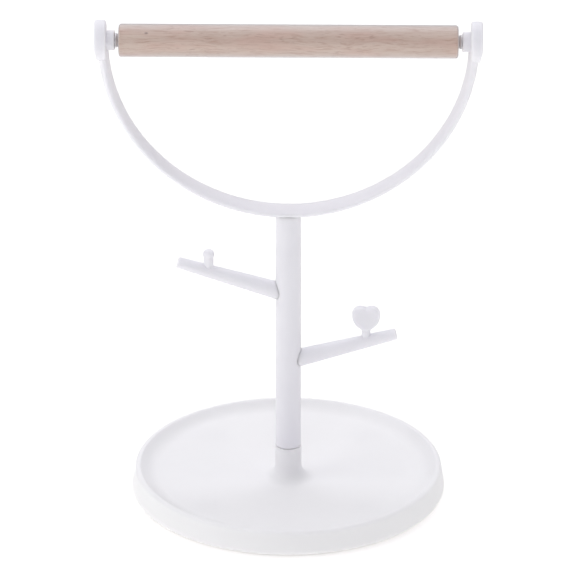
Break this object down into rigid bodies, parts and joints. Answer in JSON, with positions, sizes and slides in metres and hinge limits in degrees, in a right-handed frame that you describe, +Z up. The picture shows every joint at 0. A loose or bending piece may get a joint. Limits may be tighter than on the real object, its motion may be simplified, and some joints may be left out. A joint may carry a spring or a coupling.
{
  "type": "bird perch stand",
  "caption": "Table-top bird perch stand: a round shallow tray, a post with small twigs, and a half-round yoke whose ears hold a turning wooden perch rod.",
  "frame": {"origin": "on the table under the post's axis, at the bottom of the feet", "axes": "+X along the perch to the viewer's right, +Y away from the viewer, +Z up along the post"},
  "size_m": [0.1738, 0.1436, 0.2316],
  "materials": {
    "white_plastic": "matte",
    "beech": "bare, lightly sanded",
    "steel": "satin",
    "foot_rubber": "matte"
  },
  "bodies": {
    "stand": {"base_tray": "white_plastic", "rubber_foot_1": "foot_rubber", "rubber_foot_2": "foot_rubber", "rubber_foot_3": "foot_rubber", "rubber_foot_4": "foot_rubber", "post_screw": "steel", "post_washer": "steel", "post": "white_plastic", "upper_branch": "white_plastic", "lower_branch": "white_plastic", "yoke": "white_plastic"},
    "perch": {"perch_dowel": "beech", "left_pivot_screw": "steel", "right_pivot_screw": "steel", "left_spacer": "steel", "right_spacer": "steel"}
  },
  "joints": [
    {"name": "perch_spin", "type": "hinge", "parent": "stand", "child": "perch", "pos_m": [0, 0, 0.2224], "axis": [1, 0, 0], "continuous": true}
  ]
}
